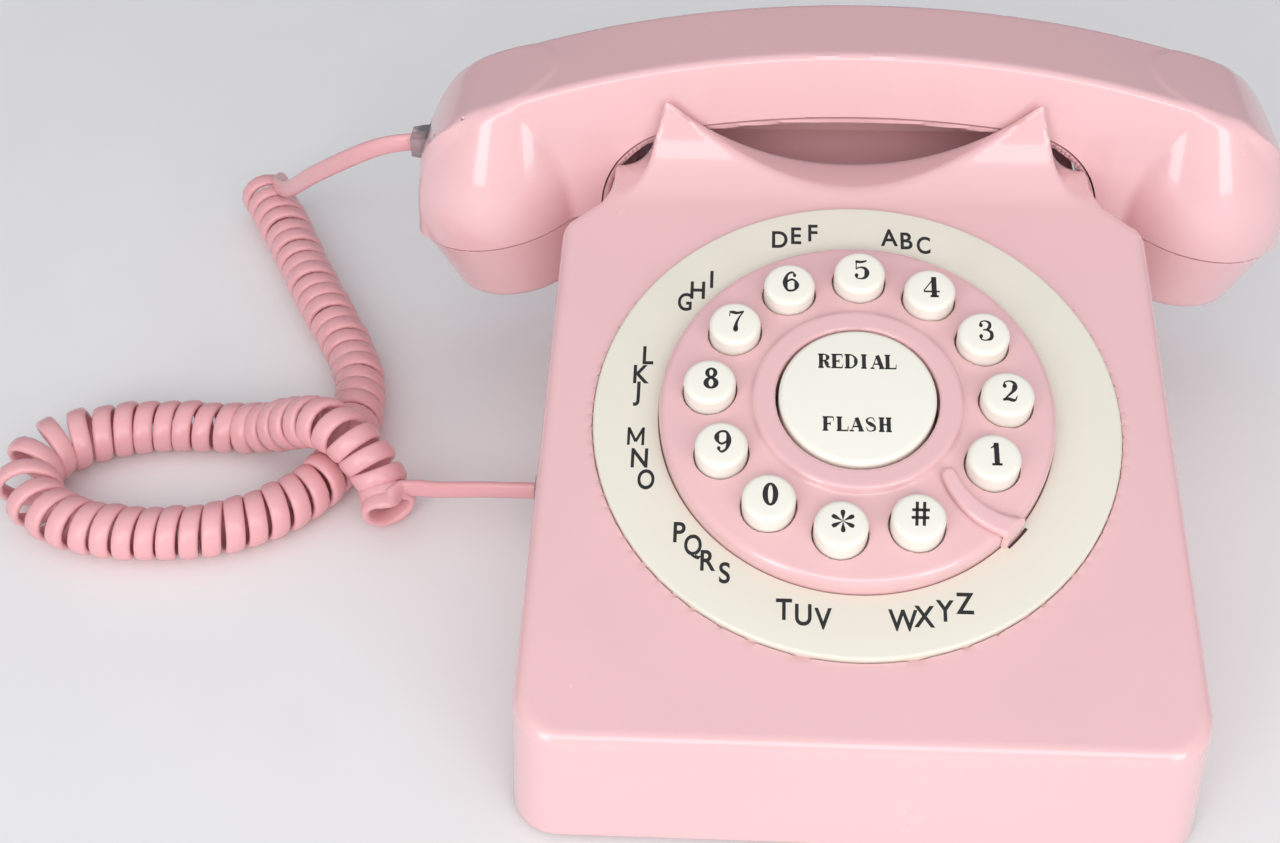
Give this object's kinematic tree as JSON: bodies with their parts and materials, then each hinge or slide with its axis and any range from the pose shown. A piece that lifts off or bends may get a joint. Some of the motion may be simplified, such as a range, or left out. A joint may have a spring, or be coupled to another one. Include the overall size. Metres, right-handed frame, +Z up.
{
  "type": "desk telephone",
  "caption": "Compact desk telephone with a wedge base, push keys in a round dial, a centre rocker, and a corded handset across a horned rear cradle.",
  "frame": {"origin": "on the table, under the middle of the telephone's box without its cord", "axes": "+X to the right along the handset, +Y to the rear, +Z up; the dial faces up and towards -Y"},
  "size_m": [0.33, 0.2344, 0.105],
  "materials": {
    "case_pink": "glossy moulded ABS",
    "plate_pink": "fine texture",
    "ring_cream": "glossy",
    "key_cream": "glossy",
    "screw_steel": "zinc plated",
    "weight_steel": "dull primer",
    "membrane_rubber": "matt silicone",
    "board_green": "solder mask",
    "clear_post": "clear, slightly smoky",
    "dark_plastic": "satin",
    "brass_disc": "bare metal",
    "feet_rubber": "matt",
    "switch_white": "satin",
    "cord_pink": "soft satin PVC",
    "plug_clear": "clear moulded"
  },
  "bodies": {
    "base": {"top_shell": "case_pink", "bottom_plate": "plate_pink", "rubber_feet": "feet_rubber", "base_screws": "screw_steel", "base_weight": "weight_steel", "dial_ring": "ring_cream", "dial_face": "case_pink", "finger_stop": "case_pink", "dial_screws": "screw_steel", "keypad_membrane": "membrane_rubber", "keypad_board": "board_green", "keypad_screws": "screw_steel", "main_board": "board_green", "board_screws": "screw_steel", "hook_switch": "dark_plastic", "hook_spring": "screw_steel", "ringer": "brass_disc", "line_jack": "ring_cream", "base_jack": "dark_plastic", "base_plug": "plug_clear", "base_lead": "cord_pink", "coiled_cord": "cord_pink"},
    "handset": {"handset_upper_shell": "case_pink", "handset_lower_shell": "case_pink", "receiver": "dark_plastic", "transmitter": "dark_plastic", "handset_weight": "weight_steel", "handset_jack": "dark_plastic", "handset_screws": "screw_steel", "handset_plug": "plug_clear", "handset_lead": "cord_pink"},
    "hook": {"hook_plunger": "clear_post"},
    "rocker": {"function_rocker": "key_cream"},
    "ringer_slide": {"ringer_switch": "switch_white"},
    "key_1_cap": {"key_1": "key_cream"},
    "key_2_cap": {"key_2": "key_cream"},
    "key_3_cap": {"key_3": "key_cream"},
    "key_4_cap": {"key_4": "key_cream"},
    "key_5_cap": {"key_5": "key_cream"},
    "key_6_cap": {"key_6": "key_cream"},
    "key_7_cap": {"key_7": "key_cream"},
    "key_8_cap": {"key_8": "key_cream"},
    "key_9_cap": {"key_9": "key_cream"},
    "key_0_cap": {"key_0": "key_cream"},
    "key_star_cap": {"key_star": "key_cream"},
    "key_hash_cap": {"key_hash": "key_cream"}
  },
  "joints": [
    {"name": "handset_lift", "type": "slide", "parent": "base", "child": "handset", "axis": [0, 0, 1], "range_m": [0, 0.08], "deforming": ["handset_lead"]},
    {"name": "hook_rise", "type": "slide", "parent": "base", "child": "hook", "axis": [0, 0, 1], "range_m": [0, 0.004], "deforming": ["hook_spring"]},
    {"name": "rocker_tilt", "type": "hinge", "parent": "base", "child": "rocker", "pos_m": [0, -0.01982, 0.0623], "axis": [1, 0, 0], "range_deg": [-2.5, 2.5], "stiffness_Nm_per_rad": 0.12},
    {"name": "ringer_level", "type": "slide", "parent": "base", "child": "ringer_slide", "axis": [1, 0, 0], "range_m": [-0.004, 0.004]},
    {"name": "key_1_press", "type": "slide", "parent": "base", "child": "key_1_cap", "axis": [0, 0.2924, -0.9563], "range_m": [0, 0.0023], "stiffness_N_per_m": 250, "springref_m": -0.001},
    {"name": "key_2_press", "type": "slide", "parent": "base", "child": "key_2_cap", "axis": [0, 0.2924, -0.9563], "range_m": [0, 0.0023], "stiffness_N_per_m": 250, "springref_m": -0.001},
    {"name": "key_3_press", "type": "slide", "parent": "base", "child": "key_3_cap", "axis": [0, 0.2924, -0.9563], "range_m": [0, 0.0023], "stiffness_N_per_m": 250, "springref_m": -0.001},
    {"name": "key_4_press", "type": "slide", "parent": "base", "child": "key_4_cap", "axis": [0, 0.2924, -0.9563], "range_m": [0, 0.0023], "stiffness_N_per_m": 250, "springref_m": -0.001},
    {"name": "key_5_press", "type": "slide", "parent": "base", "child": "key_5_cap", "axis": [0, 0.2924, -0.9563], "range_m": [0, 0.0023], "stiffness_N_per_m": 250, "springref_m": -0.001},
    {"name": "key_6_press", "type": "slide", "parent": "base", "child": "key_6_cap", "axis": [0, 0.2924, -0.9563], "range_m": [0, 0.0023], "stiffness_N_per_m": 250, "springref_m": -0.001},
    {"name": "key_7_press", "type": "slide", "parent": "base", "child": "key_7_cap", "axis": [0, 0.2924, -0.9563], "range_m": [0, 0.0023], "stiffness_N_per_m": 250, "springref_m": -0.001},
    {"name": "key_8_press", "type": "slide", "parent": "base", "child": "key_8_cap", "axis": [0, 0.2924, -0.9563], "range_m": [0, 0.0023], "stiffness_N_per_m": 250, "springref_m": -0.001},
    {"name": "key_9_press", "type": "slide", "parent": "base", "child": "key_9_cap", "axis": [0, 0.2924, -0.9563], "range_m": [0, 0.0023], "stiffness_N_per_m": 250, "springref_m": -0.001},
    {"name": "key_0_press", "type": "slide", "parent": "base", "child": "key_0_cap", "axis": [0, 0.2924, -0.9563], "range_m": [0, 0.0023], "stiffness_N_per_m": 250, "springref_m": -0.001},
    {"name": "key_star_press", "type": "slide", "parent": "base", "child": "key_star_cap", "axis": [0, 0.2924, -0.9563], "range_m": [0, 0.0023], "stiffness_N_per_m": 250, "springref_m": -0.001},
    {"name": "key_hash_press", "type": "slide", "parent": "base", "child": "key_hash_cap", "axis": [0, 0.2924, -0.9563], "range_m": [0, 0.0023], "stiffness_N_per_m": 250, "springref_m": -0.001}
  ],
  "couplings": [
    {"joint": "hook_rise", "follows": "handset_lift", "ratio": 0.05}
  ]
}
